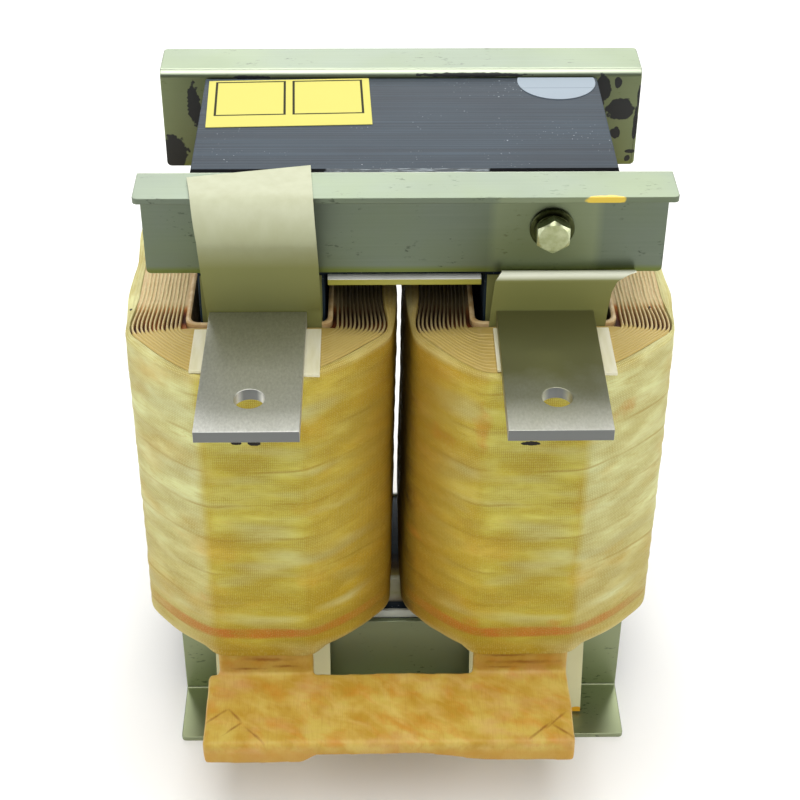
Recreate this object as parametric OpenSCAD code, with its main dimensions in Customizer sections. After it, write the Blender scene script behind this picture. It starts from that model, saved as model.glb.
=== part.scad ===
// Direct-current reactor: two foil coils on a two-limb laminated core.
// X runs along the yokes, -Y is the terminal side, Z is up. The origin is on
// the ground under the middle of the core. All sizes are in millimetres.

/* [Core] */
// Depth of the lamination stack
stack_d = 85; // [60:1:120]
// Height of each yoke
yoke_h = 46.5; // [40:0.5:60]
// Width of each limb
limb_w = 52; // [44:1:60]
// Distance between the two limb axes
limb_pitch = 118; // [104:1:150]
// Clear height between the yokes
window_h = 189; // [180:1:240]
// Height of the core's underside above the ground
core_lift = 3; // [0:0.5:5]

/* [Clamps] */
// How far the four angle clamps run past each end of the yokes
clamp_over = 20; // [10:1:40]
// Sheet thickness of the clamps
steel_t = 2.5; // [1.5:0.5:3]
// Outer bend radius of the clamps
bend_r = 3.5; // [3.5:0.5:6]
// Distance of the upper clamps' webs' lower edge from the window
top_web_short = 3.2; // [2.8:0.1:12]
// Depth of the upper clamps' flanges
top_flange_d = 23; // [15:1:26]
// Distance of the lower clamps' webs' upper edge from the window
low_web_short = 3.5; // [1:0.5:12]
// Depth of the lower clamps' feet
foot_d = 35; // [30:1:45]
// Radius of the clamps' free corners
corner_r = 2; // [1:0.5:8]
// Thickness of the liners between yokes and clamps
liner_t = 1.5; // [0.5:0.5:3]
// Diameter of the fixing holes in the feet
foot_hole_d = 9; // [6:0.5:11]
// Distance between the fixing holes of one foot
foot_hole_pitch = 45; // [30:1:50]

/* [Bolts] */
// Distance of the core bolts from the window
bolt_in = 24; // [16:0.5:30]
// Thread diameter of the core bolts
bolt_d = 8; // [6:1:10]
// Width across flats of heads and nuts
bolt_af = 13; // [10:1:17]
// Height of a bolt head
head_h = 5.3; // [4:0.1:7]
// Height of a nut
nut_h = 6.5; // [5:0.5:9]
// Diameter of a washer
washer_d = 18; // [16:1:22]
// Thickness of the washer stack under heads and nuts
washer_t = 3.2; // [1.6:0.1:5]
// Clearance of the bolt holes on the diameter
bolt_gap = 1; // [0.5:0.1:2]
// Length of thread that stands out of the nut
bolt_end = 4; // [1:1:10]

/* [Coils] */
// Height of a coil over its paper edges
coil_h = 151; // [120:1:165]
// Gap between the two coils
coil_gap = 3; // [1:0.5:10]
// Depth of the wound foil at the lead side
build_front = 31.2; // [24:0.1:36]
// Depth of the wound foil at the plain side
build_rear = 30.2; // [24:0.1:36]
// Sideways set of both coils on their limbs
coil_shift = -1.2; // [-1.4:0.1:1.4]
// Room between a limb and its coil's opening at each side
bore_gap = 2.5; // [1.5:0.1:4]
// Thickness of the wedges that hold a coil in front of and behind its limb
wedge_t = 5.4; // [2:0.1:8]
// Width of those wedges
wedge_w = 30; // [20:1:40]
// Wall of the coil former
former_t = 2; // [1:0.5:2.5]
// Thickness of the outer tape wrap at the sides
wrap_t = 4; // [2:0.5:5]
// Thickness of the wrap over the lower leads
cover_t = 1.5; // [0.5:0.1:2.5]
// Number of insulated layers of foil
layers = 12; // [6:1:14]
// Thickness of one paper edge
paper_t = 0.8; // [0.5:0.1:1]
// How far the paper edges stand out of the foil
paper_h = 3; // [1:0.5:5]
// How far the straight stretch at a coil's side runs past the core
side_over = 15; // [8:0.5:18]
// Rounding of a coil's slanted corners
corner_bulge = 2.5; // [0:0.5:4]

/* [Leads] */
// Width of the aluminium bars
bar_w = 40; // [30:1:44]
// Thickness of the bars
bar_t = 5; // [3:0.5:6]
// Distance of the terminals' free ends from the core's middle
terminal_reach = 130; // [110:1:150]
// Diameter of the terminal holes
terminal_hole_d = 12; // [8:0.5:16]
// Distance of a terminal hole from the free end
terminal_hole_edge = 20; // [12:1:25]
// Sideways set of the terminal holes on their bars
terminal_hole_shift = 0; // [-3:0.5:3]
// Length of a lead inside the coil
lead_in = 60; // [30:1:90]
// Width of the pads under the terminals
pad_w = 52; // [44:1:56]
// Depth of the pads under the terminals
pad_d = 32; // [20:1:34]
// How much narrower the right pad is, on its inner side
right_pad_trim = 4.5; // [0:0.5:8]
// Thickness of the pads under the terminals
pad_t = 1.5; // [0.5:0.5:3]
// Thickness of the tape round the lower leads
tape_t = 0.8; // [0.3:0.1:1.5]
// Sideways set of the left lower lead
left_lead_shift = -2; // [-5:0.5:5]
// Sideways set of the right lower lead
right_lead_shift = -5; // [-5:0.5:5]
// Drop from the coils' underside to the series link's top
link_drop = 15; // [8:1:25]
// How far the series link runs past the left lead
link_over = 4.5; // [0:0.5:8]

/* [Sheets] */
// Thickness of the barrier sheets
sheet_t = 0.6; // [0.3:0.1:1]
// Width of the upper barrier sheets
top_sheet_w = 48; // [40:1:54]
// Width of the lower barrier sheets
low_sheet_w = 54; // [40:1:56]
// Length of sheet held inside a coil
sheet_in = 14; // [8:1:30]
// Thickness of the board under the upper yoke
board_t = 3; // [1:0.5:5]
// Gap between that board and the limbs
board_gap = 1.5; // [0.3:0.1:4]
// Height of the white strips above the lower yoke
strip_rise = 1.2; // [0.5:0.1:3]
// Thickness of the liners on the limbs
limb_liner_t = 0.8; // [0.3:0.1:1.5]

/* [Labels] */
// Width of the plain yellow label
label_w = 69; // [40:1:70]
// Depth of the plain yellow label
label_d = 43; // [20:1:46]
// Distance of the yellow label's middle from the core's middle, to the left
label_left = 48; // [35:1:50]
// Distance of the yellow label's middle behind the core's middle
label_back = 19.6; // [0:0.1:20]
// Turn of the yellow label on the yoke, in degrees
label_turn = 2; // [0:0.5:3]
// Radius of the plain white label
disc_r = 16.9; // [8:0.1:20]
// Distance of the white label's middle from the yoke's right end
disc_in = 18; // [18:1:40]
// Distance of the white label's middle from the yoke's rear face
disc_edge = 3.8; // [0:0.1:20]
// Thickness of both labels
label_t = 0.3; // [0.2:0.1:0.5]

/* [Hidden] */
$fn = 48;

// Levels and planes of the core
half_pitch = limb_pitch / 2;
half_stack = stack_d / 2;
yoke_l = limb_pitch + limb_w;
clamp_l = yoke_l + 2 * clamp_over;
top_web_h = core_lift + yoke_h - top_web_short;
low_web_h = core_lift + yoke_h - low_web_short;
window_low = core_lift + yoke_h;
window_top = window_low + window_h;
core_top = window_top + yoke_h;
clamp_top = core_top + core_lift;
clamp_y = half_stack + liner_t;
web_y = clamp_y + steel_t;
low_bolt_z = window_low - bolt_in;
top_bolt_z = window_top + bolt_in;
foot_hole_y = (web_y + clamp_y + foot_d) / 2;
flange_y = clamp_y + top_flange_d;

// Clearance of pieces that lie on or near others without being pressed on them
clearance = 0.3;
// How far the limb liners stay inside the limbs' edges
liner_inset = 1;
// How far a cutter runs past the faces that it cuts
past = 1;

// Coil levels, the coil's middle and the sizes of its rings
coil_low = window_low + (window_h - coil_h) / 2;
coil_top = coil_low + coil_h;
left_x = coil_shift - half_pitch;
right_x = coil_shift + half_pitch;
bore_half_w = limb_w / 2 + bore_gap;
bore_half_d = half_stack + limb_liner_t + wedge_t;
former_half_w = bore_half_w + former_t;
former_half_d = bore_half_d + former_t;
wind_half_d = former_half_d + sheet_t;
side_flat = half_stack + side_over;
coil_half_w = (limb_pitch - coil_gap) / 2;
foil_low = coil_low + paper_h;
foil_top = coil_top - paper_h;
half_bar = bar_w / 2;
facet = half_bar + tape_t;
leg_gap = 0.2;
leg_y = wind_half_d + leg_gap;
foil_front = wind_half_d + build_front;
foil_rear = wind_half_d + build_rear;
coil_front = foil_front + bar_t + cover_t;
coil_rear = foil_rear + wrap_t;
lead_face = foil_front + bar_t + tape_t;
layer_gap = 0.7;
bar_z = coil_top + pad_t;
link_top = coil_low - link_drop;
link_t = bar_t + 2 * tape_t;

// Sheets: the slot that holds them, their sideways sets and their bends
slot_y = (former_half_d + wind_half_d) / 2;
left_sheet_set = 0.8;
right_sheet_set = 1.5;
low_sheet_set = 1;
fold_r = 15;
fold_reach = 13;
fold_rise = 1.6;
trim_in = 2.5;
trim_angle = 6;
curl_r = 3;
curl_reach = 3;
curl_rise = 5.7;
curl_drop = 2;
lean_past = 2;

// ---- helpers ----

// Points of one rounded slanted corner, from the side flat to the end facet
function corner(a, c, f, b, bulge) =
    let (dx = f - a, dy = b - c, len = norm([dx, dy]))
    [for (t = [0, 0.25, 0.5, 0.75, 1])
        [a + dx * t + 4 * t * (1 - t) * bulge * dy / len,
         c + dy * t - 4 * t * (1 - t) * bulge * dx / len]];

function flip(points) = [for (i = [len(points) - 1:-1:0]) points[i]];

// Outline of a coil ring: half width a, side flat c, end facet f, half depths
// front and rear; the front facet stands off to one side by shift
function ring_outline(a, c, f, front, rear, bulge, shift) =
    let (far = corner(a, c, f, rear, bulge), near = corner(a, c, f, front, bulge))
    concat(far,
           flip([for (p = far) [-p[0], p[1]]]),
           [for (i = [0:4]) [-near[i][0] + shift * i / 4, -near[i][1]]],
           flip([for (i = [0:4]) [near[i][0] + shift * i / 4, -near[i][1]]]));

function between(inner, outer, u) = inner + u * (outer - inner);

// Outline of the paper edge of layer i, set inward by t from its outer face.
// The layers near the former have squarer corners than the outer ones.
function layer_outline(i, t, shift) =
    let (u = i / (layers - 1),
         first = paper_t + layer_gap,
         a = between(former_half_w + first, coil_half_w - wrap_t - layer_gap, u),
         front = between(leg_y + bar_t + first, foil_front - layer_gap, u),
         rear = between(wind_half_d + first, foil_rear - layer_gap, u))
    ring_outline(a - t, between(wind_half_d, side_flat - wrap_t, u), between(facet + 6, facet, u),
                 front - t, rear - t, between(corner_bulge / 2, corner_bulge - 0.5, u), shift * u);

module at_coil(x) {
    translate([x, 0, 0])
        children();
}

module ring(outer, low, high) {
    translate([0, 0, low])
        linear_extrude(high - low)
            difference() {
                polygon(outer);
                children();
            }
}

// A block on the X axis' middle: width, near and far Y, low and high Z
module block(w, y0, y1, z0, z1) {
    translate([-w / 2, y0, z0])
        cube([w, y1 - y0, z1 - z0]);
}

// Section of a bent angle: web down from the origin, flange towards -X
module angle_section(web, flange) {
    translate([-steel_t, -web])
        square([steel_t, web - bend_r]);
    translate([-flange, -steel_t])
        square([flange - bend_r, steel_t]);
    translate([-bend_r, -bend_r])
        intersection() {
            difference() {
                circle(bend_r);
                circle(bend_r - steel_t);
            }
            square(bend_r);
        }
}

// Takes the square corner off a plate that lies along -X and -Y of the origin
module round_off(r, depth) {
    translate([0, 0, -depth / 2])
        linear_extrude(depth)
            difference() {
                translate([-r, -r])
                    square(r + 1);
                translate([-r, -r])
                    circle(r);
            }
}

// One angle clamp with its web's core face on Y = 0 and its bend on Z = 0
module clamp_angle(web, flange) {
    difference() {
        rotate([90, 0, 90])
            linear_extrude(clamp_l, center = true)
                angle_section(web, flange);
        for (side = [-1, 1]) {
            scale([side, 1, 1])
                translate([clamp_l / 2, -steel_t / 2, -web])
                    rotate([-90, 0, 0])
                        round_off(corner_r, 4 * steel_t);
            scale([side, 1, 1])
                translate([clamp_l / 2, -flange, -steel_t / 2])
                    scale([1, -1, 1])
                        round_off(corner_r, 2 * steel_t);
            translate([side * half_pitch, 0, 0])
                children();
        }
    }
}

module bolt_hole(z) {
    translate([0, 0, z])
        rotate([90, 0, 0])
            cylinder(d = bolt_d + bolt_gap, h = 4 * web_y, center = true);
}

module top_clamp() {
    translate([0, -clamp_y, clamp_top])
        clamp_angle(top_web_h, top_flange_d)
            bolt_hole(top_bolt_z - clamp_top);
}

module low_clamp() {
    difference() {
        translate([0, -clamp_y, 0])
            scale([1, 1, -1])
                clamp_angle(low_web_h, foot_d)
                    bolt_hole(-low_bolt_z);
        for (side = [-1, 1])
            translate([side * foot_hole_pitch / 2, -foot_hole_y, -past])
                cylinder(d = foot_hole_d, h = steel_t + 2 * past);
    }
}

module rear() {
    scale([1, -1, 1])
        children();
}

// ---- core ----

module yoke(low, bolt_z) {
    difference() {
        block(yoke_l, -half_stack, half_stack, low, low + yoke_h);
        for (side = [-1, 1])
            translate([side * half_pitch, 0, 0])
                bolt_hole(bolt_z);
    }
}

module lower_yoke() {
    color("#3d454d")
        yoke(core_lift, low_bolt_z);
}

module upper_yoke() {
    color("#4d5864")
        yoke(window_top, top_bolt_z);
}

module limb(x) {
    color("#2b2e31")
        translate([x, 0, 0])
            block(limb_w, -half_stack, half_stack, window_low, window_top);
}

module left_limb() {
    limb(-half_pitch);
}

module right_limb() {
    limb(half_pitch);
}

// ---- clamps and liners ----

module front_top_clamp() {
    color("#a9b59c")
        top_clamp();
}

module rear_top_clamp() {
    color("#a9b59c")
        rear()
            top_clamp();
}

module front_low_clamp() {
    color("#8d9a86")
        low_clamp();
}

module rear_low_clamp() {
    color("#8d9a86")
        rear()
            low_clamp();
}

// A pair of liners that fill the gap between one yoke and its two clamps
module liner_pair(low, high, bolt_z) {
    color("#1b1d1f")
        difference() {
            for (side = [-1, 1])
                scale([1, side, 1])
                    block(yoke_l, half_stack, clamp_y, low, high);
            for (side = [-1, 1])
                translate([side * half_pitch, 0, 0])
                    bolt_hole(bolt_z);
        }
}

module top_liners() {
    liner_pair(clamp_top - top_web_h, core_top - bend_r, top_bolt_z);
}

module low_liners() {
    liner_pair(bend_r, low_web_h, low_bolt_z);
}

module window_board() {
    color("#d8d8cf")
        block(limb_pitch - limb_w - 2 * board_gap, -web_y, web_y, window_top - board_t, window_top);
}

module window_strips() {
    color("#cfcfbf")
        for (side = [-1, 1])
            scale([1, side, 1])
                block(limb_pitch - limb_w - 2 * board_gap, half_stack, clamp_y,
                      low_web_h, window_low + strip_rise);
}

// Liners on the front and rear faces of one limb, between the yokes
module limb_liners(x) {
    color("#a8a680")
        for (side = [-1, 1])
            translate([x, 0, 0])
                scale([1, side, 1])
                    block(limb_w - 2 * liner_inset, half_stack, half_stack + limb_liner_t,
                          window_low + clearance, window_top - clearance);
}

module left_limb_liners() {
    limb_liners(-half_pitch);
}

module right_limb_liners() {
    limb_liners(half_pitch);
}

// Wedges that hold a coil's former on its limb, front and rear
module coil_wedges(x) {
    color("#b79a5a")
        for (side = [-1, 1])
            translate([x, 0, 0])
                scale([1, side, 1])
                    block(wedge_w, half_stack + limb_liner_t, bore_half_d,
                          coil_low + sheet_in, coil_top - sheet_in);
}

module left_coil_wedges() {
    coil_wedges(-half_pitch);
}

module right_coil_wedges() {
    coil_wedges(half_pitch);
}

// ---- coils ----

module former(x) {
    color("#d9c691")
        at_coil(x)
            difference() {
                block(2 * former_half_w, -former_half_d, former_half_d, coil_low, coil_top);
                block(2 * bore_half_w, -bore_half_d, bore_half_d, coil_low - past, coil_top + past);
            }
}

module left_former() {
    former(left_x);
}

module right_former() {
    former(right_x);
}

function foil_outline(shift) =
    ring_outline(coil_half_w - wrap_t, side_flat - 3, facet, foil_front, foil_rear,
                 corner_bulge, shift);

// The wound foil, with room for the upper lead at its inside
module winding(x, shift) {
    color("#c9a766")
        at_coil(x)
            difference() {
                ring(foil_outline(shift), foil_low, foil_top)
                    square([2 * former_half_w, 2 * wind_half_d], center = true);
                block(bar_w, -leg_y - bar_t, -wind_half_d, foil_top - lead_in, foil_top + past);
            }
}

module left_winding() {
    winding(left_x, left_lead_shift);
}

module right_winding() {
    winding(right_x, right_lead_shift);
}

// Paper edges that stand out of the foil at both ends of a coil
module paper_edges(x, shift) {
    color("#e6d3a0")
        at_coil(x)
            for (i = [0:layers - 1]) {
                ring(layer_outline(i, 0, shift), foil_top, coil_top)
                    polygon(layer_outline(i, paper_t, shift));
                ring(layer_outline(i, 0, shift), coil_low, foil_low)
                    polygon(layer_outline(i, paper_t, shift));
            }
}

module left_paper_edges() {
    paper_edges(left_x, left_lead_shift);
}

module right_paper_edges() {
    paper_edges(right_x, right_lead_shift);
}

// The tape wrap, with room for the lower lead under its front facet
module coil_wrap(x, shift) {
    color("#d6c050")
        at_coil(x)
            difference() {
                ring(ring_outline(coil_half_w, side_flat, facet, coil_front, coil_rear,
                                  corner_bulge, shift), coil_low, coil_top)
                    polygon(foil_outline(shift));
                translate([shift, 0, 0])
                    block(bar_w, -foil_front - bar_t, -foil_front, coil_low - past, coil_low + lead_in);
            }
}

module left_coil_wrap() {
    coil_wrap(left_x, left_lead_shift);
}

module right_coil_wrap() {
    coil_wrap(right_x, right_lead_shift);
}

// ---- leads ----

// Upper lead: a bar bent out over the coil, with the terminal hole at its end
module terminal(x) {
    color("#a9aaa4")
        at_coil(x)
            difference() {
                union() {
                    block(bar_w, -terminal_reach, -leg_y, bar_z, bar_z + bar_t);
                    block(bar_w, -leg_y - bar_t, -leg_y, foil_top - lead_in, bar_z);
                }
                translate([terminal_hole_shift, terminal_hole_edge - terminal_reach, bar_z - past])
                    cylinder(d = terminal_hole_d, h = bar_t + 2 * past);
            }
}

module left_terminal() {
    terminal(left_x);
}

module right_terminal() {
    terminal(right_x);
}

// Pad that keeps a terminal off the paper edges
module pad(x, trim) {
    color("#e8e0c0")
        at_coil(x)
            translate([trim / 2, 0, 0])
                block(pad_w - trim, -leg_y - bar_t - pad_d, -leg_y - bar_t, coil_top, bar_z);
}

module left_pad() {
    pad(left_x, 0);
}

module right_pad() {
    pad(right_x, right_pad_trim);
}

// Lower lead: bare inside the wrap, taped below it, bent forward under the link
module low_lead(x, shift) {
    taped_w = bar_w + 2 * tape_t;
    color("#d0a04a")
        translate([x + shift, 0, 0]) {
            block(bar_w, -foil_front - bar_t, -foil_front, coil_low, coil_low + lead_in);
            block(taped_w, -lead_face, -foil_front + tape_t, link_top - 2 * link_t, coil_low);
            block(taped_w, -terminal_reach, -lead_face, link_top - 2 * link_t, link_top - link_t);
        }
}

module left_low_lead() {
    low_lead(left_x, left_lead_shift);
}

module right_low_lead() {
    low_lead(right_x, right_lead_shift);
}

// Series link: a taped bar that joins the two lower leads
module series_link() {
    left_end = left_x + left_lead_shift - half_bar - tape_t - link_over;
    right_end = right_x + right_lead_shift + half_bar + tape_t;
    color("#d2a650")
        translate([left_end, -terminal_reach, link_top - link_t])
            cube([right_end - left_end, terminal_reach - lead_face, link_t]);
}

// ---- barrier sheets ----

// Points of a polyline's left side and right side, t apart, as one strip
function strip(points, t) =
    let (n = len(points),
         dir = [for (i = [0:n - 1])
             let (d = points[min(i + 1, n - 1)] - points[max(i - 1, 0)]) d / norm(d)])
    concat([for (i = [0:n - 1]) points[i] + t / 2 * [-dir[i][1], dir[i][0]]],
           flip([for (i = [0:n - 1]) points[i] - t / 2 * [-dir[i][1], dir[i][0]]]));

function arc(cy, cz, r, from, to) =
    [for (k = [0:6]) let (w = from + (to - from) * k / 6) [cy + r * cos(w), cz + r * sin(w)]];

module sheet(x, w, points) {
    translate([x - w / 2, 0, 0])
        rotate([90, 0, 90])
            linear_extrude(w)
                polygon(strip(points, sheet_t));
}

// A sheet's path: out of the coil, up to a bend of radius r round its middle at
// cy, cz, and on to the last point
function sheet_path(r, cy, cz, last) =
    concat([[-slot_y, coil_top - sheet_in], [-slot_y, bar_z + bar_t]],
           arc(cy, cz, r, 180, 90), [last]);

// The left upper sheet leans over the clamp's flange and lies back on it
module left_top_sheet() {
    color("#d3d6b4")
        difference() {
            sheet(left_x + left_sheet_set, top_sheet_w,
                  sheet_path(fold_r, fold_r - fold_reach - flange_y, clamp_top + fold_rise - fold_r,
                             [trim_in - web_y, clamp_top + sheet_t]));
            translate([left_x, -clamp_y - trim_in, clamp_top])
                rotate([0, 0, trim_angle])
                    block(2 * top_sheet_w, 0, top_flange_d, -sheet_t, 2 * fold_rise);
        }
}

// The right upper sheet curls back under the clamp's web
module right_top_sheet() {
    color("#c9cc96")
        sheet(right_x + right_sheet_set, top_sheet_w,
              sheet_path(curl_r, curl_r - curl_reach - slot_y, window_top + curl_rise - curl_r,
                         [-web_y - clearance, window_top + curl_rise - curl_drop]));
}

// A lower sheet hangs out of the coil and leans on the foot
module low_sheet(x) {
    color("#cdd0b0")
        sheet(x, low_sheet_w,
              [[-slot_y, coil_low + sheet_in], [-slot_y, coil_low - past],
               [-foot_hole_y - lean_past, steel_t + clearance + sheet_t / 2]]);
}

module left_low_sheet() {
    low_sheet(left_x - low_sheet_set);
}

module right_low_sheet() {
    low_sheet(right_x + low_sheet_set);
}

// ---- bolts ----

module hexagon(h) {
    rotate([90, 0, 0])
        rotate([0, 0, 30])
            cylinder(d = bolt_af / cos(30), h = h, $fn = 6);
}

module at_bolts(z) {
    for (side = [-1, 1])
        translate([side * half_pitch, 0, z])
            children();
}

// Through bolts: heads at the terminal side
module bolts(z) {
    head_y = web_y + washer_t;
    color("#b9b98c")
        at_bolts(z) {
            translate([0, -head_y, 0])
                hexagon(head_h);
            translate([0, head_y + nut_h + bolt_end, 0])
                rotate([90, 0, 0])
                    cylinder(d = bolt_d, h = 2 * head_y + nut_h + bolt_end);
        }
}

module washers(z) {
    color("#b0b083")
        at_bolts(z)
            for (side = [-1, 1])
                scale([1, side, 1])
                    translate([0, web_y + washer_t, 0])
                        rotate([90, 0, 0])
                            difference() {
                                cylinder(d = washer_d, h = washer_t);
                                translate([0, 0, -past])
                                    cylinder(d = bolt_d + bolt_gap, h = washer_t + 2 * past);
                            }
}

module nuts(z) {
    color("#b9b98c")
        at_bolts(z)
            translate([0, web_y + washer_t + nut_h, 0])
                difference() {
                    hexagon(nut_h);
                    translate([0, past, 0])
                        rotate([90, 0, 0])
                            cylinder(d = bolt_d, h = nut_h + 2 * past);
                }
}

module top_bolts() {
    bolts(top_bolt_z);
}

module low_bolts() {
    bolts(low_bolt_z);
}

module top_washers() {
    washers(top_bolt_z);
}

module low_washers() {
    washers(low_bolt_z);
}

module top_nuts() {
    nuts(top_bolt_z);
}

module low_nuts() {
    nuts(low_bolt_z);
}

// ---- labels ----

module yellow_label() {
    color("#e8d83c")
        translate([-label_left, label_back, 0])
            rotate([0, 0, label_turn])
                block(label_w, -label_d / 2, label_d / 2, core_top, core_top + label_t);
}

// The white label is cut off along the yoke's rear edge
module white_label() {
    color("#e8ecee")
        intersection() {
            translate([yoke_l / 2 - disc_in, half_stack - disc_edge, core_top])
                cylinder(r = disc_r, h = label_t);
            block(yoke_l, -half_stack, half_stack, core_top, core_top + label_t);
        }
}

lower_yoke();
upper_yoke();
left_limb();
right_limb();
front_top_clamp();
rear_top_clamp();
front_low_clamp();
rear_low_clamp();
top_liners();
low_liners();
window_board();
window_strips();
left_limb_liners();
right_limb_liners();
left_coil_wedges();
right_coil_wedges();
left_former();
right_former();
left_winding();
right_winding();
left_paper_edges();
right_paper_edges();
left_coil_wrap();
right_coil_wrap();
left_terminal();
right_terminal();
left_pad();
right_pad();
left_top_sheet();
right_top_sheet();
left_low_sheet();
right_low_sheet();
left_low_lead();
right_low_lead();
series_link();
top_bolts();
low_bolts();
top_washers();
low_washers();
top_nuts();
low_nuts();
yellow_label();
white_label();
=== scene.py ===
"""Finish of the direct-current reactor: foil coils in glass tape on a laminated core."""

import math

import bmesh
import bpy
import numpy as np
from mathutils import Matrix, Vector, noise


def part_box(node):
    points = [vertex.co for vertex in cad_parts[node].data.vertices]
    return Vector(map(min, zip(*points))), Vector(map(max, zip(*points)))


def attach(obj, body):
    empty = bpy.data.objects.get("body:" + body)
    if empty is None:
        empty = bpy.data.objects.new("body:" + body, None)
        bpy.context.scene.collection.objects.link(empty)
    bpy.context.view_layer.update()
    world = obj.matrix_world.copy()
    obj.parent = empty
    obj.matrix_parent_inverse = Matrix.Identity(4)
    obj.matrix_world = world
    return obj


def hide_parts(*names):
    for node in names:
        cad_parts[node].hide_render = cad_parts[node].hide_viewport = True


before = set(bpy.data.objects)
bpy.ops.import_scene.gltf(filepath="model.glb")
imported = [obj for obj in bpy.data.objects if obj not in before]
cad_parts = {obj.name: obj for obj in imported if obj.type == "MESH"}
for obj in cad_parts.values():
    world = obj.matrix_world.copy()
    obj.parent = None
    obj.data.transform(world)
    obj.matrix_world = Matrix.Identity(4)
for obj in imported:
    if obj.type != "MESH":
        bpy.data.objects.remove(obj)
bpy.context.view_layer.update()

MM = 0.001
SIDES = ("left", "right")

# Places read off the CAD nodes, in millimetres

def mm_box(node):
    return tuple(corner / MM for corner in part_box(node))

def mid_x(node):
    low, high = mm_box(node)
    return (low.x + high.x) / 2

COIL_X = {side: mid_x(side + "_former") for side in SIDES}
COIL_LOW, COIL_TOP = (corner.z for corner in mm_box("left_coil_wrap"))
WRAP_HALF_W = COIL_X["left"] - mm_box("left_coil_wrap")[0].x
WRAP_FRONT = -mm_box("left_coil_wrap")[0].y
WRAP_REAR = mm_box("left_coil_wrap")[1].y
FORMER_HALF = mm_box("left_former")[1] - Vector((COIL_X["left"], 0, 0))
BAR_BACK = -mm_box("left_terminal")[1].y
WEB_LOW = mm_box("front_top_clamp")[0].z
CORE_TOP, YOKE_TOP = (mm_box(node)[1].z for node in ("upper_yoke", "lower_yoke"))

# Thickness of the bars, the sheets and the coils' tubes; then half the straight side of a coil, half
# its front facet, and the bulge of the slants between them; then the step of the tape's laps, the
# threads as drawn, and the width of the labels' printed lines: all in mm
BAR_T, SHEET_T, TUBE_T = 5.0, 0.6, 2.0
SIDE_FLAT, FACET, BULGE = 59.0, 20.8, 2.5
LAP, THREAD, FRAME_LINE = 9.5, 0.85, 1.0

# Papers that show in each end of a coil, counted outward
PAPERS = 12

# Bolts in mm: how far out they stand, the clamps' outer faces, the width over the hexagon's flats, and
# the height of each pair
BOLT_X, BOLT_FACE, BOLT_FLATS = 59.0, 46.5, 13.0
BOLT_HEIGHTS = {"top": 262.5, "low": 25.5}

# How far each coil's front facet is set over in X, and how far its walls stand inward of their nominal
# place: the outer wall at the top and at the foot, then the inner wall
LEAD_SHIFT = {"left": -2.0, "right": -5.0}
DRAWN_IN = {"left": ((0.3, 1.5), (-0.5, 3.0)), "right": ((0.9, 2.4), (0.1, -1.2))}

# Middle and reach, in mm, of the specks of dirt and smears of ink on the coils
DIRT = [
    ((-114.2, -39, 219), (0.6, 0.8, 1.5)),
    ((103.4, -38.6, 219), (0.6, 0.8, 1.5)),
    ((107.5, -4, 219), (0.6, 0.8, 1.5)),
    ((-68.8, -89, 186.8), (2.4, 5, 1)),
    ((-61.6, -89, 186.6), (3, 5, 1.2)),
    ((51, -89, 186), (4, 5, 1.1)),
]

# Brown lines of painted shade along the folds of the tape on the link and its necks: middle, reach and turn
# about Z of each
FOLDS = [
    ((-83, -114, 54), (6.5, 0.9, 8), 40),
    ((-75, -113.5, 54), (5.5, 0.9, 8), -52),
    ((-66, -125, 54), (8, 0.9, 8), -48),
    ((-75.5, -121.5, 54), (6, 0.8, 8), 42),
    ((60, -123, 54), (9, 0.9, 8), 44),
    ((69, -124, 54), (7, 0.9, 8), -40),
    ((66.5, -118, 54), (8, 0.8, 8), 46),
    ((-62, -89, 63), (14, 6, 1.6), 0),
    ((-53, -89, 58.8), (7, 6, 1), 0),
    ((-70, -89, 57.2), (9, 6, 0.9), 0),
    ((-62, -89, 66.2), (22, 6, 0.8), 0),
    ((54, -89, 60.4), (19, 6, 1.6), 0),
    ((46, -89, 64.6), (12, 6, 1), 0),
    ((44, -89, 57.2), (9, 6, 0.9), 0),
    ((53, -89, 66), (22, 6, 0.8), 0),
]

# Orange stains in the tape
STAINS = [
    ((16, -74, 181), (9, 9, 5)),
    ((6, -60, 118), (7, 12, 4)),
    ((32, -86, 190), (3.5, 8, 14)),
    ((90, -76, 196), (8, 12, 5)),
    ((30, -86, 84.5), (5, 6, 3.5)),
    ((67, -86, 84.5), (5, 6, 4)),
    ((-84, -84, 100), (8, 6, 3)),
]

# Black paint left on the rear clamp
PAINT_MARKS = [
    ((-91, 44, 272.5), (2.8, 2, 10)),
    ((-101.5, 44, 248.5), (6, 2, 9)),
    ((88.6, 44, 279), (3.4, 2, 7.5)),
    ((94.8, 44, 282), (1.6, 2, 2.8)),
    ((97, 44, 269.5), (6.4, 2, 5.6)),
    ((103.9, 44, 262), (1.1, 2, 8.5)),
    ((104.6, 44, 275.5), (0.9, 2, 5)),
    ((95.3, 44, 257.5), (2.3, 2, 3.2)),
    ((102.8, 44, 248.3), (2.4, 2, 0.9)),
    ((101.8, 44, 245), (1.5, 2, 1.8)),
    ((31, 44.3, 285.8), (24, 1.8, 1)),
    ((-66, 44.3, 285), (9, 1.8, 0.9)),
]

# Labels: middle, turn in degrees, and printed frames, each from corner to corner about the middle
YELLOW = (-48, 19.6), 2, [(-31.5, -11.6, -1.4, 20.2), (1.4, -11.6, 31.5, 20.2)]
WHITE = (67, 38.7), 0, [(-30, -6.5, 30, -6.1)]

# ---- camera, light and floor ----

CAMERA_PLACE = Vector((-13.1, -634.9, 611.8)) * MM
CAMERA_YAW, CAMERA_PITCH, CAMERA_ROLL = (math.radians(a) for a in (1.12, 36.46, 0.34))
LENS = 76.5


def placed(name, data):
    """A new object at the origin, in the scene."""
    obj = bpy.data.objects.new(name, data)
    bpy.context.scene.collection.objects.link(obj)
    return obj


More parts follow.
